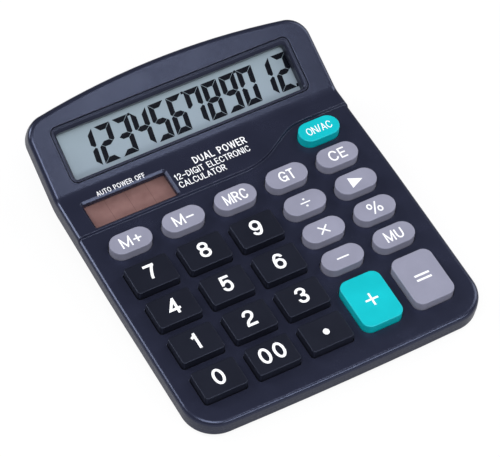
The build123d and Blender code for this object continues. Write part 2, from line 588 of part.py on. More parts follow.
# ================================================================== assembly
def build():
    keys = key_layout()
    parts = {"top_case": make_top_case(keys), "bottom_case": make_bottom_case()}
    parts["battery_door"] = make_door()
    parts["rubber_feet"] = make_feet()
    parts["case_screws"] = make_case_screws()
    for name, face, x, y in keys:
        parts[name] = DECK * Pos(x, y) * make_key(face)

    parts["display_bezel"] = make_bezel()
    lens_size = (WINDOW[0] + 1.6, WINDOW[1] + 1.6, LENS_THICKNESS)
    parts["display_lens"] = display_plate(lens_size, LENS_TOP, (0, -WINDOW_DROP))
    parts["lcd_panel"] = display_plate(LCD, LCD_TOP, (0, -WINDOW_DROP))
    parts["contact_strip"] = display_plate((90, 2, STRIP_HEIGHT), STRIP_TOP, (0, -8))
    parts["display_board"] = display_plate(DISPLAY_BOARD, DISPLAY_BOARD_TOP, (0, -1.7))
    parts["display_ribbon"] = make_display_ribbon()

    parts["solar_window"] = solar_plate(2.0, SOLAR_WINDOW, WALL + SLIVER)
    parts["solar_cell"] = solar_plate(1.4, SOLAR_CELL, WALL + SOLAR_WINDOW + 2 * SLIVER)
    parts["solar_leads"] = make_solar_leads()

    parts["key_membrane"] = make_membrane(keys)
    parts["main_board"] = make_board()
    parts["board_screws"] = make_board_screws()
    parts["chip"] = make_chip()
    parts["board_components"] = make_components()

    parts["battery"] = make_battery()
    parts["spring_contact"] = make_spring_contact()
    parts["plate_contact"] = make_plate_contact()
    parts["battery_leads"] = make_battery_leads()
    return parts


def as_shape(part):
    """One shape for a node: a list of separate solids becomes a compound."""
    solids = [solid for item in part for solid in item.solids()] if isinstance(part, list) else part.solids()
    return Compound(children=solids) if len(solids) > 1 else solids[0]


def main():
    os.makedirs("parts", exist_ok=True)
    shapes = {name: as_shape(part) for name, part in build().items()}
    boxes = [shape.bounding_box() for shape in shapes.values()]
    middle_y = (min(box.min.Y for box in boxes) + max(box.max.Y for box in boxes)) / 2
    low_z = min(box.min.Z for box in boxes)
    for name, shape in shapes.items():
        export_step(shape.moved(Location((0, -middle_y, -low_z))), f"parts/{name}.step")
    print("shift", -middle_y, -low_z)
    print("door hinge", 0, DOOR_FRONT - middle_y, BASE_Z - low_z)


main()
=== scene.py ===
import bmesh
import bpy
import json
import math
from mathutils import Matrix, Vector
from mathutils.geometry import delaunay_2d_cdt


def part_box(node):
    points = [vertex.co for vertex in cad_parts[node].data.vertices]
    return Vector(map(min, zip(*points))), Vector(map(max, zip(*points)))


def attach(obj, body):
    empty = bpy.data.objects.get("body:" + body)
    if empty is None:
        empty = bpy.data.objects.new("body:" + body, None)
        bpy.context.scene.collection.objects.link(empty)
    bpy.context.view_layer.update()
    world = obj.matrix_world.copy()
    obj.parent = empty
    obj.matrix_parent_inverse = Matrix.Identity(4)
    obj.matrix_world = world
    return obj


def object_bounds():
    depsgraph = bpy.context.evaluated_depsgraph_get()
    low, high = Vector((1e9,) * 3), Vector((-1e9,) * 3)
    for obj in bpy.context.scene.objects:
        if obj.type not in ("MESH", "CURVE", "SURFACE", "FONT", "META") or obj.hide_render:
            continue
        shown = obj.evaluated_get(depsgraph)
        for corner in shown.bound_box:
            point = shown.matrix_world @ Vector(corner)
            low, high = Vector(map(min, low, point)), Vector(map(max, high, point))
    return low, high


# A desk calculator in satin navy plastic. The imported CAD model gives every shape. This script adds the
# printed legends, the liquid crystal figures, the materials, the floor, the lights and the camera.
# Metres. X runs across the keys, Y from the front edge to the display, Z up.

MM = 0.001

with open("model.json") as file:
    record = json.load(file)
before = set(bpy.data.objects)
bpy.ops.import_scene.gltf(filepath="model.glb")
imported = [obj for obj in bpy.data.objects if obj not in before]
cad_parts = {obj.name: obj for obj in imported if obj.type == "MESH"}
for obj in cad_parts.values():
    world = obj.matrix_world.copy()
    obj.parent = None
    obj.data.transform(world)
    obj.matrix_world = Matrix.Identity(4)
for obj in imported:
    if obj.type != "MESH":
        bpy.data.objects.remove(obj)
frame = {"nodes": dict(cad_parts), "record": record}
nodes = frame["nodes"]
CAD_LOW, CAD_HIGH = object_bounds()
CENTRE = (CAD_LOW + CAD_HIGH) / 2
KEY_NODES = sorted(name for name in nodes if name.startswith("key_") and name != "key_membrane")


# ------------------------------------------------------------------ camera
CAMERA_LENS = 216.0
CAMERA_DISTANCE = 1.10117
CAMERA_AZIMUTH = math.radians(-29.288)
CAMERA_ELEVATION = math.radians(47.553)
CAMERA_NEAR = 0.05
CAMERA_ANGLES = [math.radians(angle) for angle in (42.1768, 0.1476, -29.4862)]


def add_camera():
    data = bpy.data.cameras.new("camera")
    data.lens = CAMERA_LENS
    data.clip_start = CAMERA_NEAR
    camera = bpy.data.objects.new("camera", data)
    bpy.context.scene.collection.objects.link(camera)
    back = Vector((
        math.sin(CAMERA_AZIMUTH) * math.cos(CAMERA_ELEVATION),
        -math.cos(CAMERA_AZIMUTH) * math.cos(CAMERA_ELEVATION),
        math.sin(CAMERA_ELEVATION),
    ))
    camera.location = CENTRE + back * CAMERA_DISTANCE
    camera.rotation_euler = CAMERA_ANGLES
    bpy.context.scene.camera = camera


# ------------------------------------------------------------------ material building blocks
BEVEL_SAMPLES = 6
COOL_GLOSS = (0.58, 0.67, 1.0, 1.0)
COVERED_GLOSS = 0.06        # of what lies under a clear window
EDGE_SHARP = 0.80           # how far a rounded normal turns from a flat one on a full edge, as a cosine,
EDGE_FLAT = 0.995           # and where the flat begins
RUB_AND_HIGHLIGHT_GAIN = 1.5              # a rubbed edge, and an edge with a painted highlight, is this much brighter than the plastic, and this much paler besides
RUB_AND_HIGHLIGHT_LIFT = 0.03             # and this much paler besides
BROAD_MOTTLE = 14 * MM
BROAD_SHARE = 0.6           # of the changes in gloss, the share that is broad; the rest is fine
FINE_SHARE = 0.4
CLEAR_HAZE = (0.12, 0.18)   # roughness of a clear cover, from its clearest to its haziest


def new_material(name):
    """A node material: its tree, its main shader and the coordinates of the object it is on."""
    material = bpy.data.materials.new(name)
    material.use_nodes = True
    tree = material.node_tree
    place = tree.nodes.new("ShaderNodeTexCoord").outputs["Object"]
    return material, tree, tree.nodes["Principled BSDF"], place


def noise(tree, place, size, detail=2.0, stretch=None):
    """Noise whose features are about size metres across, drawn out along stretch if it is given."""
    node = tree.nodes.new("ShaderNodeTexNoise")
    node.inputs["Scale"].default_value = 1 / size
    node.inputs["Detail"].default_value = detail
    if stretch:
        mapping = tree.nodes.new("ShaderNodeMapping")
        mapping.inputs["Scale"].default_value = stretch
        tree.links.new(place, mapping.inputs["Vector"])
        place = mapping.outputs["Vector"]
    tree.links.new(place, node.inputs["Vector"])
    return node.outputs["Fac"]


def remap(tree, value, low, high, from_low=0.3, from_high=0.7):
    node = tree.nodes.new("ShaderNodeMapRange")
    node.inputs["From Min"].default_value = from_low
    node.inputs["From Max"].default_value = from_high
    node.inputs["To Min"].default_value = low
    node.inputs["To Max"].default_value = high
    tree.links.new(value, node.inputs["Value"])
    return node.outputs["Result"]


def blend(tree, factor, low, high):
    """A colour between low and high, each a colour or a socket."""
    node = tree.nodes.new("ShaderNodeMix")
    node.data_type = "RGBA"
    tree.links.new(factor, node.inputs["Factor"])
    for socket, colour in ((node.inputs[6], low), (node.inputs[7], high)):
        if isinstance(colour, bpy.types.NodeSocket):
            tree.links.new(colour, socket)
        else:
            socket.default_value = tuple(colour) + (1.0,)
    return node.outputs[2]


def maths(tree, operation, first, second):
    node = tree.nodes.new("ShaderNodeMath")
    node.operation = operation
    for socket, value in zip(node.inputs, (first, second)):
        if isinstance(value, bpy.types.NodeSocket):
            tree.links.new(value, socket)
        else:
            socket.default_value = value
    return node.outputs["Value"]


def bump(tree, height, depth, rounded=None):
    """Fine relief, on top of a rounded normal if one is given."""
    node = tree.nodes.new("ShaderNodeBump")
    node.inputs["Distance"].default_value = depth
    tree.links.new(height, node.inputs["Height"])
    if rounded:
        tree.links.new(rounded.outputs["Normal"], node.inputs["Normal"])
    return node


def rounded_edges(tree, radius):
    """A normal that turns smoothly over sharp edges, so that they catch the light."""
    node = tree.nodes.new("ShaderNodeBevel")
    node.samples = BEVEL_SAMPLES
    node.inputs["Radius"].default_value = radius
    return node


def edge_mask(tree, rounded):
    """Near 1 on the sharp outer and inner edges of a piece, and 0 on its flats."""
    geometry = tree.nodes.new("ShaderNodeNewGeometry")
    dot = tree.nodes.new("ShaderNodeVectorMath")
    dot.operation = "DOT_PRODUCT"
    tree.links.new(rounded.outputs["Normal"], dot.inputs[0])
    tree.links.new(geometry.outputs["Normal"], dot.inputs[1])
    return remap(tree, dot.outputs["Value"], 1.0, 0.0, EDGE_SHARP, EDGE_FLAT)


def scaled(colour, factor):
    return tuple(min(1.0, channel * factor) for channel in colour)


def plastic(name, colour, rough, grain=0.14 * MM, depth=0.006 * MM, mottle=0.08, wear_and_highlight=0.3,
            edge=0.35 * MM, gloss=0.5):
    """Moulded plastic: fine texture, slow changes in shade and gloss, and edges painted paler, partly as
    rubbed wear and partly as a painted highlight.
    """
    material, tree, shader, place = new_material(name)
    shader.inputs["Specular IOR Level"].default_value = gloss
    shader.inputs["Specular Tint"].default_value = COOL_GLOSS
    broad = noise(tree, place, BROAD_MOTTLE, 4.0)
    fine = noise(tree, place, grain, 3.0)
    darker, lighter = scaled(colour, 1 - mottle), scaled(colour, 1 + mottle)
    shade = blend(tree, remap(tree, broad, 0.0, 1.0), darker, lighter)
    rounded = rounded_edges(tree, edge)
    # painted highlight as well as wear: sharp edges are painted paler, as if they caught the light, up to the
    # given strength
    rubbed_and_highlit = maths(tree, "MULTIPLY", edge_mask(tree, rounded), remap(tree, broad, 0.5 * wear_and_highlight, wear_and_highlight))
    pale = tuple(channel * RUB_AND_HIGHLIGHT_GAIN + RUB_AND_HIGHLIGHT_LIFT for channel in colour)
    tree.links.new(blend(tree, rubbed_and_highlit, shade, pale), shader.inputs["Base Color"])
    broad_part = maths(tree, "MULTIPLY", broad, BROAD_SHARE)
    mixed = maths(tree, "ADD", broad_part, maths(tree, "MULTIPLY", fine, FINE_SHARE))
    tree.links.new(remap(tree, mixed, rough - 0.04, rough + 0.05), shader.inputs["Roughness"])
    tree.links.new(bump(tree, fine, depth, rounded).outputs["Normal"], shader.inputs["Normal"])
    return material


def metal(name, colour, rough, stretch=(1, 1, 1), grain=0.12 * MM):
    """Plated or brushed metal: fine streaks in gloss and shade."""
    material, tree, shader, place = new_material(name)
    shader.inputs["Metallic"].default_value = 1.0
    streaks = noise(tree, place, grain, 3.0, stretch)
    broad = noise(tree, place, 3 * MM, 3.0)
    shade = blend(tree, remap(tree, broad, 0.0, 1.0), scaled(colour, 0.85), scaled(colour, 1.08))
    tree.links.new(shade, shader.inputs["Base Color"])
    tree.links.new(remap(tree, streaks, rough - 0.08, rough + 0.12), shader.inputs["Roughness"])
    tree.links.new(bump(tree, streaks, 0.004 * MM).outputs["Normal"], shader.inputs["Normal"])
    return material


def clear(name, gloss):
    """A thin clear cover: mostly see-through, with a polished reflection and faint haze."""
    material, tree, shader, place = new_material(name)
    haze = remap(tree, noise(tree, place, 6 * MM, 4.0), *CLEAR_HAZE)
    tree.nodes.remove(shader)
    through = tree.nodes.new("ShaderNodeBsdfTransparent")
    polish = tree.nodes.new("ShaderNodeBsdfGlossy")
    tree.links.new(haze, polish.inputs["Roughness"])
    fresnel = tree.nodes.new("ShaderNodeFresnel")
    fresnel.inputs["IOR"].default_value = 1.0 + gloss
    mix = tree.nodes.new("ShaderNodeMixShader")
    tree.links.new(fresnel.outputs["Fac"], mix.inputs["Fac"])
    tree.links.new(through.outputs["BSDF"], mix.inputs[1])
    tree.links.new(polish.outputs["BSDF"], mix.inputs[2])
    tree.links.new(mix.outputs["Shader"], tree.nodes["Material Output"].inputs["Surface"])
    return material


def ink(name, colour, rough, gloss=0.5):
    """Pad-printed ink: slightly uneven cover and gloss."""
    material, tree, shader, place = new_material(name)
    shader.inputs["Specular IOR Level"].default_value = gloss
    film = noise(tree, place, 0.5 * MM, 4.0)
    shade = blend(tree, remap(tree, film, 0.0, 1.0), scaled(colour, 0.93), colour)
    tree.links.new(shade, shader.inputs["Base Color"])
    tree.links.new(remap(tree, film, rough - 0.06, rough + 0.08), shader.inputs["Roughness"])
    tree.links.new(bump(tree, film, 0.003 * MM).outputs["Normal"], shader.inputs["Normal"])
    return material


# ------------------------------------------------------------------ special materials
# painted sheen: the reflector runs from the bottom colour to the paler top colour, standing in for reflected
# light
CRYSTAL_BOTTOM = (0.235, 0.285, 0.345)
CRYSTAL_TOP = (0.280, 0.350, 0.400)
CRYSTAL_SPECKLE = (0.262, 0.322, 0.375)
CELL_STRIP = 8.5 * MM
STRIP_LINE = 0.02
TRACK_PITCH = 7 * MM
TRACK_WIDTH = 0.07
GOLD_FROM = 0.72            # along the battery, from its low end


def along(tree, place, axis):
    """One of an object's coordinates, by the axis's name."""
    node = tree.nodes.new("ShaderNodeSeparateXYZ")
    tree.links.new(place, node.inputs["Vector"])
    return node.outputs[axis]


def stripes(tree, value, pitch, share):
    """1 on a line that takes up share of every pitch, and 0 between the lines."""
    phase = maths(tree, "FRACT", maths(tree, "DIVIDE", value, pitch), 0.0)
    return maths(tree, "LESS_THAN", phase, share)


def liquid_crystal(low, high):
    """The display's reflector behind its polariser: blue-grey, with a painted sheen that makes it a little
    paler towards its top.
    """
    material, tree, shader, place = new_material("liquid_crystal")
    shader.inputs["Specular IOR Level"].default_value = COVERED_GLOSS
    painted_sheen_rise = remap(tree, along(tree, place, "Z"), 0.0, 1.0, low, high)
    speckle = noise(tree, place, 0.25 * MM, 2.0)
    base = blend(tree, painted_sheen_rise, CRYSTAL_BOTTOM, CRYSTAL_TOP)
    shade = blend(tree, remap(tree, speckle, 0.0, 0.35), base, CRYSTAL_SPECKLE)
    tree.links.new(shade, shader.inputs["Base Color"])
    tree.links.new(remap(tree, speckle, 0.45, 0.60), shader.inputs["Roughness"])
    tree.links.new(bump(tree, speckle, 0.003 * MM).outputs["Normal"], shader.inputs["Normal"])
    return material


def amorphous_cell():
    """Brown amorphous silicon, divided by hairlines into its strips."""
    material, tree, shader, place = new_material("amorphous_cell")
    shader.inputs["Specular IOR Level"].default_value = COVERED_GLOSS
    cloud = noise(tree, place, 5 * MM, 4.0)
    brown = blend(tree, remap(tree, cloud, 0.0, 1.0), (0.165, 0.092, 0.088), (0.205, 0.118, 0.112))
    line = stripes(tree, along(tree, place, "X"), CELL_STRIP, STRIP_LINE)
    tree.links.new(blend(tree, line, brown, (0.12, 0.07, 0.065)), shader.inputs["Base Color"])
    tree.links.new(remap(tree, cloud, 0.32, 0.45), shader.inputs["Roughness"])
    tree.links.new(bump(tree, cloud, 0.01 * MM).outputs["Normal"], shader.inputs["Normal"])
    return material


def circuit_board():
    """Brown paper laminate under a thin resist, with copper tracks showing through."""
    material, tree, shader, place = new_material("circuit_board")
    fibre = noise(tree, place, 0.4 * MM, 4.0, (1, 4, 1))
    laminate = blend(tree, remap(tree, fibre, 0.0, 1.0), (0.24, 0.15, 0.06), (0.36, 0.25, 0.12))
    cells = tree.nodes.new("ShaderNodeTexVoronoi")
    cells.distance = "MANHATTAN"
    cells.feature = "DISTANCE_TO_EDGE"
    cells.inputs["Scale"].default_value = 1 / TRACK_PITCH
    tree.links.new(place, cells.inputs["Vector"])
    track = maths(tree, "LESS_THAN", cells.outputs["Distance"], TRACK_WIDTH)
    tree.links.new(blend(tree, track, laminate, (0.42, 0.27, 0.10)), shader.inputs["Base Color"])
    tree.links.new(remap(tree, fibre, 0.35, 0.55), shader.inputs["Roughness"])
    tree.links.new(bump(tree, track, 0.03 * MM).outputs["Normal"], shader.inputs["Normal"])
    return material


def battery_wrap(low, high):
    """The cell's jacket: a green sleeve with a gold band at the positive end."""
    material, tree, shader, place = new_material("battery_wrap")
    reach = remap(tree, along(tree, place, "X"), 0.0, 1.0, low, high)
    scuff = noise(tree, place, 1.2 * MM, 5.0, (0.3, 1, 1))
    sleeve = blend(tree, remap(tree, scuff, 0.0, 1.0), (0.015, 0.10, 0.05), (0.025, 0.14, 0.075))
    gold = blend(tree, remap(tree, scuff, 0.0, 1.0), (0.52, 0.34, 0.10), (0.62, 0.43, 0.15))
    banded = blend(tree, maths(tree, "GREATER_THAN", reach, GOLD_FROM), sleeve, gold)
    tree.links.new(banded, shader.inputs["Base Color"])
    shader.inputs["Metallic"].default_value = 0.6
    tree.links.new(remap(tree, scuff, 0.24, 0.40), shader.inputs["Roughness"])
    tree.links.new(bump(tree, scuff, 0.01 * MM).outputs["Normal"], shader.inputs["Normal"])
    return material


NAVY = (0.0130, 0.0145, 0.0285)
CHARCOAL = (0.0060, 0.0066, 0.0115)
GREY = (0.240, 0.242, 0.315)
CYAN = (0.000, 0.430, 0.480)
WHITE = (0.86, 0.87, 0.90)


def dress_nodes():
    """Gives each CAD node its material."""
    lcd_low, lcd_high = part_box("lcd_panel")
    cell_low, cell_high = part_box("battery")
    by_slot = {
        # the case's edges are painted paler at full strength: mostly a painted highlight along its rims and
        # the plateau step
        "case": plastic("case_plastic", NAVY, 0.25, wear_and_highlight=1.0, edge=0.45 * MM, gloss=0.60),
        "digit_keys": plastic("digit_key_plastic", CHARCOAL, 0.40, wear_and_highlight=0.22, gloss=0.42),
        "grey_keys": plastic("grey_key_plastic", GREY, 0.42, wear_and_highlight=0.45),
        "cyan_keys": plastic("cyan_key_plastic", CYAN, 0.40, wear_and_highlight=0.12),
        "bezel": plastic("bezel_plastic", (0.012, 0.013, 0.024), 0.30, depth=0.002 * MM),
        "lens": clear("clear_lens", 0.03),
        "lcd": liquid_crystal(lcd_low.z, lcd_high.z),
        "strip": plastic("connector_rubber", (0.16, 0.05, 0.05), 0.62),
        "board": circuit_board(),
        "ribbon": plastic("ribbon_film", (0.42, 0.20, 0.04), 0.30),
        "solar_window": clear("clear_window", 0.08),
        "solar_cell": amorphous_cell(),
        "leads": plastic("lead_sleeve", (0.35, 0.02, 0.02), 0.42),
        "membrane": plastic("silicone", (0.42, 0.42, 0.40), 0.62, mottle=0.05),
        "screws": metal("zinc_plate", (0.62, 0.62, 0.60), 0.30),
        "resin": plastic("black_resin", (0.010, 0.010, 0.012), 0.22),
        "components": plastic("component_sleeve", (0.03, 0.035, 0.09), 0.28),
        "battery": battery_wrap(cell_low.x, cell_high.x),
        "contacts": metal("nickel_plate", (0.66, 0.65, 0.60), 0.26, (0.2, 1, 1)),
        "feet": plastic("foot_rubber", (0.018, 0.018, 0.019), 0.75, grain=0.3 * MM, depth=0.02 * MM),
    }
    for part in frame["record"]["subparts"]:
        mesh = nodes[part["node"]].data
        mesh.materials.clear()
        mesh.materials.append(by_slot[part["material_slot"]])


# ------------------------------------------------------------------ the planes that print lies on
UPWARD = 0.5                # least rise of a face that can carry print
SQUARE = 0.9999             # cosine within which a face is square to a direction


def main_normal(node):
    """The direction of the largest upward face of a node."""
    faces = [face for face in nodes[node].data.polygons if face.normal.z > UPWARD]
    return max(faces, key=lambda face: face.area).normal.copy()


def surface_height(node, normal):
    """How far along normal the node's outermost face square to it lies."""
    faces = [face for face in nodes[node].data.polygons if face.normal.dot(normal) > SQUARE]
    return max(face.center.dot(normal) for face in faces)


def face_frame(node, normal, height=None):
    """Axes in the middle of a node's face: X across the case, Y up the slope, Z out of it."""
    across = Vector((1, 0, 0))
    upward = normal.cross(across)
    points = [vertex.co for vertex in nodes[node].data.vertices]
    middle = []
    for axis in (across, upward):
        spans = [point.dot(axis) for point in points]
        middle.append((min(spans) + max(spans)) / 2)
    if height is None:
        height = max(point.dot(normal) for point in points)
    origin = across * middle[0] + upward * middle[1] + normal * height
    axes = Matrix((across, upward, normal)).transposed().to_4x4()
    return Matrix.Translation(origin) @ axes


# ------------------------------------------------------------------ lettering
# A glyph is its width for a height of 1, and its strokes. A stroke is its kind, its corner radius and
# its corners, in a box where 0 and 1 are the middles of the outermost strokes.
LINE, LOOP, FILL = "line", "loop", "fill"
ROUND = 1.0
GLYPHS = {
    "0": (0.60, [(LOOP, ROUND, [(0, 0), (1, 0), (1, 1), (0, 1)])]),
    "1": (0.42, [(LINE, 0, [(0.75, 0), (0.75, 1)]), (LINE, 0.2, [(0, 0.76), (0.62, 0.80), (0.75, 1)])]),
    "2": (0.58, [(LINE, ROUND, [(0, 0.70), (0, 1), (1, 1), (1, 0.5), (0, 0.28), (0, 0)]),
                 (LINE, 0, [(0, 0), (1, 0)])]),
    "3": (0.58, [(LINE, ROUND, [(0, 0.74), (0, 1), (0.97, 1), (0.97, 0.53), (0.35, 0.53)]),
                 (LINE, ROUND, [(0.35, 0.53), (1, 0.53), (1, 0), (0, 0), (0, 0.27)])]),
    "4": (0.62, [(LINE, 0, [(0.76, 0), (0.76, 1), (0, 0.26), (1, 0.26)])]),
    "5": (0.58, [(LINE, 0, [(0.93, 1), (0.14, 1), (0.05, 0.48)]),
                 (LINE, ROUND, [(0.05, 0.48), (0.25, 0.66), (1, 0.66), (1, 0), (0, 0), (0, 0.25)])]),
    "6": (0.60, [(LOOP, ROUND, [(0, 0), (1, 0), (1, 0.62), (0, 0.62)]),
                 (LINE, ROUND, [(0, 0.3), (0, 1), (1, 1), (1, 0.76)])]),
    "7": (0.58, [(LINE, 0, [(0, 1), (1, 1)]), (LINE, ROUND, [(1, 1), (0.42, 0.55), (0.32, 0)])]),
    "8": (0.60, [(LOOP, ROUND, [(0.05, 0.54), (0.95, 0.54), (0.95, 1), (0.05, 1)]),
                 (LOOP, ROUND, [(0, 0), (1, 0), (1, 0.54), (0, 0.54)])]),
    "9": (0.60, [(LOOP, ROUND, [(0, 0.38), (1, 0.38), (1, 1), (0, 1)]),
                 (LINE, ROUND, [(1, 0.7), (1, 0), (0, 0), (0, 0.24)])]),
    "A": (0.70, [(LINE, 0, [(0, 0), (0.5, 1), (1, 0)]), (LINE, 0, [(0.18, 0.3), (0.82, 0.3)])]),
    "C": (0.70, [(LINE, ROUND, [(1, 0.70), (1, 1), (0, 1), (0, 0), (1, 0), (1, 0.30)])]),
    "D": (0.66, [(LINE, 0, [(0, 0), (0, 1)]), (LINE, 0.5, [(0, 1), (1, 1), (1, 0), (0, 0)])]),
    "E": (0.56, [(LINE, 0, [(1, 1), (0, 1), (0, 0), (1, 0)]), (LINE, 0, [(0, 0.52), (0.9, 0.52)])]),
    "F": (0.54, [(LINE, 0, [(0, 0), (0, 1), (1, 1)]), (LINE, 0, [(0, 0.50), (0.85, 0.50)])]),
    "G": (0.74, [(LINE, ROUND, [(1, 0.74), (1, 1), (0, 1), (0, 0), (1, 0), (1, 0.42)]),
                 (LINE, 0, [(0.55, 0.42), (1, 0.42), (1, 0)])]),
    "I": (0.16, [(LINE, 0, [(0.5, 0), (0.5, 1)])]),
    "L": (0.54, [(LINE, 0, [(0, 1), (0, 0), (1, 0)])]),
    "M": (0.82, [(LINE, 0, [(0, 0), (0, 1), (0.5, 0), (1, 1), (1, 0)])]),
    "N": (0.70, [(LINE, 0, [(0, 0), (0, 1), (1, 0), (1, 1)])]),
    "O": (0.76, [(LOOP, ROUND, [(0, 0), (1, 0), (1, 1), (0, 1)])]),
    "P": (0.60, [(LINE, 0, [(0, 0), (0, 1)]), (LINE, 0.27, [(0, 1), (1, 1), (1, 0.44), (0, 0.44)])]),
    "R": (0.64, [(LINE, 0, [(0, 0), (0, 1)]), (LINE, 0.25, [(0, 1), (1, 1), (1, 0.48), (0, 0.48)]),
                 (LINE, 0, [(0.55, 0.48), (1, 0)])]),
    "T": (0.60, [(LINE, 0, [(0, 1), (1, 1)]), (LINE, 0, [(0.5, 0), (0.5, 1)])]),
    "U": (0.66, [(LINE, 0.33, [(0, 1), (0, 0), (1, 0), (1, 1)])]),
    "W": (0.98, [(LINE, 0, [(0, 1), (0.25, 0), (0.5, 1), (0.75, 0), (1, 1)])]),
    "/": (0.36, [(LINE, 0, [(0, 0), (1, 1)])]),
    "+": (0.62, [(LINE, 0, [(0, 0.46), (1, 0.46)]), (LINE, 0, [(0.5, 0.15), (0.5, 0.77)])]),
    "-": (0.60, [(LINE, 0, [(0, 0.46), (1, 0.46)])]),
    "=": (0.82, [(LINE, 0, [(0, 0.34), (1, 0.34)]), (LINE, 0, [(0, 0.64), (1, 0.64)])]),
    "x": (0.64, [(LINE, 0, [(0, 0.18), (1, 0.76)]), (LINE, 0, [(0, 0.76), (1, 0.18)])]),
    ":": (0.70, [(LINE, 0, [(0, 0.46), (1, 0.46)]),
                 (FILL, ROUND, [(0.37, 0.72), (0.63, 0.72), (0.63, 0.90), (0.37, 0.90)]),
                 (FILL, ROUND, [(0.37, 0.02), (0.63, 0.02), (0.63, 0.20), (0.37, 0.20)])]),
    "%": (1.00, [(LOOP, ROUND, [(0, 0.52), (0.32, 0.52), (0.32, 0.95), (0, 0.95)]),
                 (LOOP, ROUND, [(0.68, 0.05), (1, 0.05), (1, 0.48), (0.68, 0.48)]),
                 (LINE, 0, [(0.28, 0), (0.72, 1)])]),
    ">": (0.95, [(FILL, 0, [(0.05, 0), (1, 0.5), (0.05, 1)])]),
    ".": (0.42, [(FILL, ROUND, [(0, 0.28), (1, 0.28), (1, 0.66), (0, 0.66)])]),
}
SPACE_WIDTH = 0.34
ARC_STEPS = 8
CURVE_HANDLE = 0.5523
MITRE_LIMIT = 4.0
PRINT_SUNK = 0.02 * MM
PRINT_PROUD = 0.02 * MM
INSIDE = 1                  # the kind of division that keeps to the outlines
UNITE_WITHIN = 1e-4         # corners nearer than this, in millimetres, are one
SAME_POINT = 1e-6           # points of a path nearer than this share of a height are one
SHORTEST_TURN = 1e-3        # least length that a mitre is worked out from


def round_corners(points, radius, closed):
    """The points of a path whose corners are rounded by up to radius."""
    path, last = [], len(points) - 1
    for index, point in enumerate(points):
        if radius == 0 or (not closed and index in (0, last)):
            path.append(point)
            continue
        before, after = points[index - 1], points[(index + 1) % len(points)]
        ends = []
        for other, free in ((before, index == 1), (after, index == last - 1)):
            reach = (other - point).length
            limit = reach if free and not closed else reach / 2
            ends.append(point + (other - point) * (min(radius, limit) / reach))
        handles = [end + (point - end) * CURVE_HANDLE for end in ends]
        for step in range(ARC_STEPS + 1):
            t = step / ARC_STEPS
            s = 1 - t
            path.append(ends[0] * s ** 3 + handles[0] * (3 * s * s * t)
                        + handles[1] * (3 * s * t * t) + ends[1] * t ** 3)
    cleaned = [path[0]]
    for point in path[1:]:
        if (point - cleaned[-1]).length > SAME_POINT:
            cleaned.append(point)
    if closed and (cleaned[0] - cleaned[-1]).length < SAME_POINT:
        cleaned.pop()
    return cleaned


def stroke_sides(path, weight, closed):
    """The left and right sides of a stroke that follows a path, mitred at its corners."""
    sides = []
    for index, point in enumerate(path):
        before = path[index - 1] if closed or index else None
        after = path[(index + 1) % len(path)] if closed or index < len(path) - 1 else None
        ways = []
        if before is not None:
            ways.append((point - before).normalized())
        if after is not None:
            ways.append((after - point).normalized())
        normals = [Vector((-way.y, way.x)) for way in ways]
        middle = sum(normals, Vector((0, 0)))
        middle = middle.normalized() if middle.length > SHORTEST_TURN else normals[0]
        reach = min(1 / max(middle.dot(normals[0]), SHORTEST_TURN), MITRE_LIMIT) * weight / 2
        sides.append((point + middle * reach, point - middle * reach))
    return sides


def add_stroke(bm, kind, radius, corners, weight):
    """Adds a stroke's flat faces to a mesh."""
    closed = kind != LINE
    if not closed and radius == 0:
        first = (corners[0] - corners[1]).normalized()
        last = (corners[-1] - corners[-2]).normalized()
        corners = [corners[0] + first * weight / 2] + corners[1:-1] + [corners[-1] + last * weight / 2]
    path = round_corners(corners, radius, closed)
    if kind == FILL:
        bm.faces.new([bm.verts.new((point.x, point.y, 0)) for point in path])
        return
    sides = stroke_sides(path, weight, closed)
    pairs = [[bm.verts.new((side.x, side.y, 0)) for side in pair] for pair in sides]
    following = pairs[1:] + pairs[:1] if closed else pairs[1:]
    for (left, right), (next_left, next_right) in zip(pairs, following):
        bm.faces.new((left, right, next_right, next_left))


def text_width(text, weight, spacing):
    widths = [SPACE_WIDTH if letter == " " else GLYPHS[letter][0] for letter in text]
    return sum(widths) + (weight + spacing) * (len(text) - 1)


def lettering(bm, text, start, height, weight, squeeze=1.0, spacing=0.0):
    """Adds a line of text from start. Height is that of its capitals, and weight its strokes' share of it."""
    x = 0.0
    for letter in text:
        width = SPACE_WIDTH if letter == " " else GLYPHS[letter][0]
        for kind, radius, corners in GLYPHS.get(letter, (0, []))[1]:
            glyph = bmesh.new()
            spread = [
                Vector((x + (weight / 2 + cx * (width - weight)) * squeeze, weight / 2 + cy * (1 - weight)))
                for cx, cy in corners
            ]
            add_stroke(glyph, kind, radius, spread, weight)
            for level, side in ((0.0, -1), (1.0, 1)):
                geometry = glyph.verts[:] + glyph.edges[:] + glyph.faces[:]
                bmesh.ops.bisect_plane(glyph, geom=geometry, plane_co=(0, level, 0), plane_no=(0, side, 0),
                                       clear_outer=True)
            placing = Matrix.Translation(start) @ Matrix.Scale(height, 4)
            bmesh.ops.transform(glyph, matrix=placing, verts=glyph.verts)
            mesh = bpy.data.meshes.new("glyph")
            glyph.to_mesh(mesh)
            glyph.free()
            bm.from_mesh(mesh)
            bpy.data.meshes.remove(mesh)
        x += (width + weight + spacing) * squeeze


def united(flat):
    """A mesh that covers what a flat mesh covers, with nothing on top of itself where strokes cross."""
    flat.verts.index_update()
    points = [vertex.co.xy / MM for vertex in flat.verts]
    outlines = [[vertex.index for vertex in face.verts] for face in flat.faces]
    corners, _, faces, _, _, sources = delaunay_2d_cdt(points, [], outlines, INSIDE, UNITE_WITHIN)
    bm = bmesh.new()
    verts = [bm.verts.new((corner.x * MM, corner.y * MM, 0)) for corner in corners]
    for face, source in zip(faces, sources):
        if source:
            bm.faces.new([verts[index] for index in face])
    bmesh.ops.delete(bm, geom=[vertex for vertex in bm.verts if not vertex.link_faces], context="VERTS")
    flat.free()
    return bm


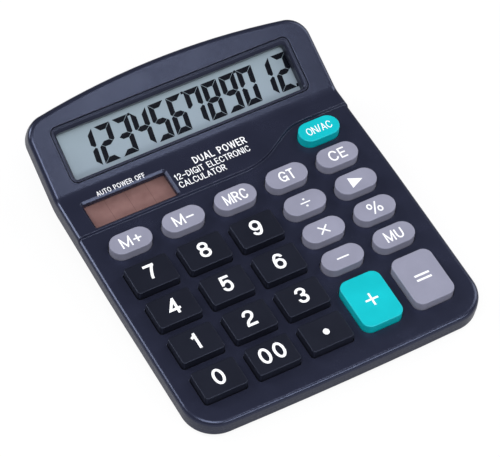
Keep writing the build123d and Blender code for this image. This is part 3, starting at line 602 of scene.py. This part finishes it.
def print_piece(name, flat, place, material, body, sunk=PRINT_SUNK, proud=PRINT_PROUD):
    """Turns flat faces into a thin printed film on the plane that place gives, riding on a body."""
    bm = united(flat)
    bmesh.ops.translate(bm, verts=bm.verts, vec=(0, 0, -sunk))
    bmesh.ops.recalc_face_normals(bm, faces=bm.faces)
    raised = bmesh.ops.extrude_face_region(bm, geom=bm.faces[:])["geom"]
    tops = [item for item in raised if isinstance(item, bmesh.types.BMVert)]
    bmesh.ops.translate(bm, verts=tops, vec=(0, 0, sunk + proud))
    bmesh.ops.recalc_face_normals(bm, faces=bm.faces)
    bm.transform(place)
    mesh = bpy.data.meshes.new(name)
    bm.to_mesh(mesh)
    bm.free()
    mesh.materials.append(material)
    piece = bpy.data.objects.new(name, mesh)
    bpy.context.scene.collection.objects.link(piece)
    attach(piece, body)


# ------------------------------------------------------------------ what is printed where
DIGIT_HEIGHT = 6.8 * MM
DIGIT_WEIGHT = 0.155
WORD_HEIGHT = 4.7 * MM
WORD_WEIGHT = 0.135
SIGN_HEIGHT = 5.0 * MM
# key: its legend, its capitals' height, its strokes' weight, how much wider than usual it is drawn,
# and how far above the middle of the key
LEGENDS = {
    "key_m_plus": ("M+", WORD_HEIGHT, WORD_WEIGHT, 1.15, 0.0),
    "key_m_minus": ("M-", WORD_HEIGHT, WORD_WEIGHT, 1.15, 0.0),
    "key_mrc": ("MRC", WORD_HEIGHT, WORD_WEIGHT, 0.82, 0.0),
    "key_gt": ("GT", WORD_HEIGHT, WORD_WEIGHT, 0.90, 0.0),
    "key_ce": ("CE", WORD_HEIGHT, WORD_WEIGHT, 1.08, 0.0),
    "key_mu": ("MU", WORD_HEIGHT, WORD_WEIGHT, 0.97, 0.0),
    "key_on_ac": ("ON/AC", 3.4 * MM, 0.11, 0.84, 0.0),
    "key_divide": (":", SIGN_HEIGHT, 0.10, 1.17, 0.0),
    "key_multiply": ("x", 5.8 * MM, 0.10, 1.03, 0.0),
    "key_minus": ("-", SIGN_HEIGHT, 0.12, 1.8, 0.0),
    "key_arrow": (">", 5.4 * MM, 0.10, 1.22, 0.0),
    "key_percent": ("%", 5.3 * MM, 0.11, 1.09, 0.0),
    "key_plus": ("+", 8.4 * MM, 0.095, 1.0, 0.0),
    "key_equals": ("=", 7.5 * MM, 0.115, 1.0, 0.0),
    "key_point": (".", 7.6 * MM, 0.10, 1.0, 0.0),
}
DIGIT_LIFT = 0.6 * MM
DIGIT_SQUEEZE = 1.12


def centred_text(text, height, weight, squeeze, lift):
    """A mesh with a line of text about its middle."""
    bm = bmesh.new()
    width = text_width(text, weight, 0.0) * squeeze * height
    lettering(bm, text, (-width / 2, lift - height / 2, 0), height, weight, squeeze)
    return bm


def print_keys(normal, material):
    for node in KEY_NODES:
        word = node.removeprefix("key_")
        legend = LEGENDS.get(node, (word, DIGIT_HEIGHT, DIGIT_WEIGHT, DIGIT_SQUEEZE, DIGIT_LIFT))
        print_piece("legend_" + word, centred_text(*legend), face_frame(node, normal), material, node)


# line: its text, its left end and base from the solar window's middle, its height, weight and squeeze
PLATEAU_TEXT = {
    "print_power": ("AUTO POWER OFF", (-10.2, 6.2), 2.2, 0.12, 0.85),
    "print_title": ("DUAL POWER", (29.1, 3.3), 3.3, 0.135, 0.85),
    "print_line_one": ("12-DIGIT ELECTRONIC", (19.0, -0.6), 2.8, 0.120, 0.88),
    "print_line_two": ("CALCULATOR", (19.1, -4.3), 2.8, 0.120, 0.88),
}
LINE_SPACING = 0.03


def print_plateau(normal, material):
    place = face_frame("solar_window", normal, surface_height("top_case", normal))
    for name, (text, (x, y), height, weight, squeeze) in PLATEAU_TEXT.items():
        bm = bmesh.new()
        lettering(bm, text, (x * MM, y * MM, 0), height * MM, weight, squeeze, LINE_SPACING)
        print_piece(name, bm, place, material, "root")


# ------------------------------------------------------------------ liquid crystal figures
CELL_PITCH = 7.58 * MM
CELL_COUNT = 12
FIRST_CELL = -40.9 * MM
FIGURE_BASE = -7.2 * MM
FIGURE_HEIGHT = 14.6 * MM
FIGURE_WIDTH = 6.5 * MM
BAR = 2.10 * MM
BAR_GAP = 0.10 * MM
MARK_SIZE = 1.0 * MM
MARK_AFTER = 0.55 * MM      # from a figure's right side to the middle of its mark
MARK_BELOW = 0.3 * MM
POINT_SIZE = 1.3 * MM
POINT_AFTER = 0.50 * MM
FIGURE_SUNK = 0.01 * MM
SLANT = math.tan(math.radians(5.5))
SHOWN = "123456789012"
# the bars of each figure: top, upper right, lower right, bottom, lower left, upper left, middle
BARS = {
    "0": "ABCDEF", "1": "BC", "2": "ABGED", "3": "ABGCD", "4": "FGBC", "5": "AFGCD", "6": "AFGECD",
    "7": "FABC", "8": "ABCDEFG", "9": "ABCDFG",
}


def bar_outline(name):
    """A bar's corners, upright, with the figure's bottom left corner at 0."""
    w, h, t, g = FIGURE_WIDTH, FIGURE_HEIGHT, BAR, BAR_GAP
    half = h / 2
    flat = {
        "A": [(g, h), (w - g, h), (w - t - g, h - t), (t + g, h - t)],
        "D": [(g, 0), (w - g, 0), (w - t - g, t), (t + g, t)],
        "G": [(g + t / 3, half), (t + g, half + t / 2), (w - t - g, half + t / 2), (w - g - t / 3, half),
              (w - t - g, half - t / 2), (t + g, half - t / 2)],
        "F": [(0, h - g), (t, h - t - g), (t, half + t / 2 + g), (t / 3, half + g), (0, half + g + t / 4)],
        "E": [(0, g), (t, t + g), (t, half - t / 2 - g), (t / 3, half - g), (0, half - g - t / 4)],
    }
    if name in flat:
        return flat[name]
    return [(w - x, y) for x, y in flat[{"B": "F", "C": "E"}[name]]]


def dot(x, y, r):
    """A small square mark's corners."""
    return [(x - r, y - r), (x + r, y - r), (x + r, y + r), (x - r, y + r)]


def print_figures(normal, material):
    """The twelve figures and their separator marks, as thin films on the panel."""
    place = face_frame("lcd_panel", normal)
    bm = bmesh.new()
    for cell in range(CELL_COUNT):
        left = FIRST_CELL + cell * CELL_PITCH
        outlines = [bar_outline(bar) for bar in BARS[SHOWN[cell]]]
        if (CELL_COUNT - 1 - cell) % 3 == 0 and cell < CELL_COUNT - 1:
            outlines.append(dot(FIGURE_WIDTH + MARK_AFTER, FIGURE_HEIGHT - MARK_BELOW, MARK_SIZE / 2))
        if cell == CELL_COUNT - 1:
            outlines.append(dot(FIGURE_WIDTH + POINT_AFTER, POINT_SIZE / 2, POINT_SIZE / 2))
        for outline in outlines:
            corners = [bm.verts.new((left + x + (y - FIGURE_HEIGHT / 2) * SLANT, FIGURE_BASE + y, 0))
                       for x, y in outline]
            bm.faces.new(corners)
    print_piece("lcd_figures", bm, place, material, "root", sunk=FIGURE_SUNK)


# ------------------------------------------------------------------ floor and light
FLOOR_GLOW = 0.82           # how much of the floor's brightness is even, as on a lit table
FLOOR_LIGHT = 1.10
FLOOR_DARK = (0.46, 0.46, 0.47)
FLOOR_PALE = (0.50, 0.50, 0.51)
FLOOR_REACH = 4.0
FLOOR_DROP = 0.0002         # how far below the feet it lies
ROOM_LIGHT = 0.14
ROOM_COLOUR = (0.93, 0.95, 1.0, 1.0)
SEEN_COLOUR = (1.0, 1.0, 1.0, 1.0)
LIGHT_DISTANCE = 1.0
# light: its direction from the object, its width and height, and its power
LIGHTS = {
    "front": ((-0.35, -0.55, 1.00), (0.6, 0.5), 7.4),
    "left": ((-0.62, 0.50, 0.60), (0.4, 0.5), 5.5),
    "right": ((0.95, 0.05, 0.65), (0.4, 0.7), 3.5),
    "sheen": ((0.300, -0.330, 0.893), (0.14, 0.10), 0.46),
    "low": ((0.33, -0.80, 0.50), (0.60, 0.16), 3.2),
}


def add_floor():
    """A large pale sheet under the object, faintly uneven."""
    bm = bmesh.new()
    corners = ((-1, -1), (1, -1), (1, 1), (-1, 1))
    bm.faces.new([bm.verts.new((x * FLOOR_REACH, y * FLOOR_REACH, 0)) for x, y in corners])
    mesh = bpy.data.meshes.new("floor")
    bm.to_mesh(mesh)
    bm.free()
    floor = bpy.data.objects.new("floor", mesh)
    floor.location.z = CAD_LOW.z - FLOOR_DROP
    bpy.context.scene.collection.objects.link(floor)
    material, tree, shader, place = new_material("floor_paper")
    soft = noise(tree, place, 0.25, 3.0)
    tree.links.new(blend(tree, soft, FLOOR_DARK, FLOOR_PALE), shader.inputs["Base Color"])
    shader.inputs["Roughness"].default_value = 0.9
    lit = tree.nodes.new("ShaderNodeEmission")
    lit.inputs["Strength"].default_value = FLOOR_LIGHT
    rays = tree.nodes.new("ShaderNodeLightPath")
    mix = tree.nodes.new("ShaderNodeMixShader")
    tree.links.new(maths(tree, "MULTIPLY", rays.outputs["Is Camera Ray"], FLOOR_GLOW), mix.inputs["Fac"])
    tree.links.new(shader.outputs["BSDF"], mix.inputs[1])
    tree.links.new(lit.outputs["Emission"], mix.inputs[2])
    tree.links.new(mix.outputs["Shader"], tree.nodes["Material Output"].inputs["Surface"])
    mesh.materials.append(material)


def add_light(name, direction, size, power):
    """A soft oblong light, aimed at the object's middle."""
    data = bpy.data.lights.new(name, "AREA")
    data.shape = "RECTANGLE"
    data.size, data.size_y = size
    data.energy = power
    light = bpy.data.objects.new(name, data)
    away = Vector(direction).normalized()
    light.location = CENTRE + away * LIGHT_DISTANCE
    light.rotation_mode = "QUATERNION"
    light.rotation_quaternion = away.to_track_quat("Z", "Y")
    bpy.context.scene.collection.objects.link(light)


def add_world():
    """Even light from all round, paler where the camera sees it."""
    world = bpy.data.worlds.new("studio")
    bpy.context.scene.world = world
    world.use_nodes = True
    tree = world.node_tree
    background = tree.nodes["Background"]
    background.inputs["Color"].default_value = ROOM_COLOUR
    background.inputs["Strength"].default_value = ROOM_LIGHT
    seen = tree.nodes.new("ShaderNodeBackground")
    seen.inputs["Color"].default_value = SEEN_COLOUR
    rays = tree.nodes.new("ShaderNodeLightPath")
    mix = tree.nodes.new("ShaderNodeMixShader")
    tree.links.new(rays.outputs["Is Camera Ray"], mix.inputs["Fac"])
    tree.links.new(background.outputs["Background"], mix.inputs[1])
    tree.links.new(seen.outputs["Background"], mix.inputs[2])
    tree.links.new(mix.outputs["Shader"], tree.nodes["World Output"].inputs["Surface"])


# ------------------------------------------------------------------ the scene
bpy.context.scene.view_settings.view_transform = "Standard"
add_camera()
add_world()
add_floor()
for name, light in LIGHTS.items():
    add_light(name, *light)
dress_nodes()

deck_normal = main_normal("key_7")
head_normal = main_normal("display_lens")
white_ink = ink("white_ink", WHITE, 0.45)
print_keys(deck_normal, white_ink)
print_plateau(deck_normal, white_ink)
print_figures(head_normal, ink("crystal_dark", (0.003, 0.004, 0.008), 0.40, COVERED_GLOSS))
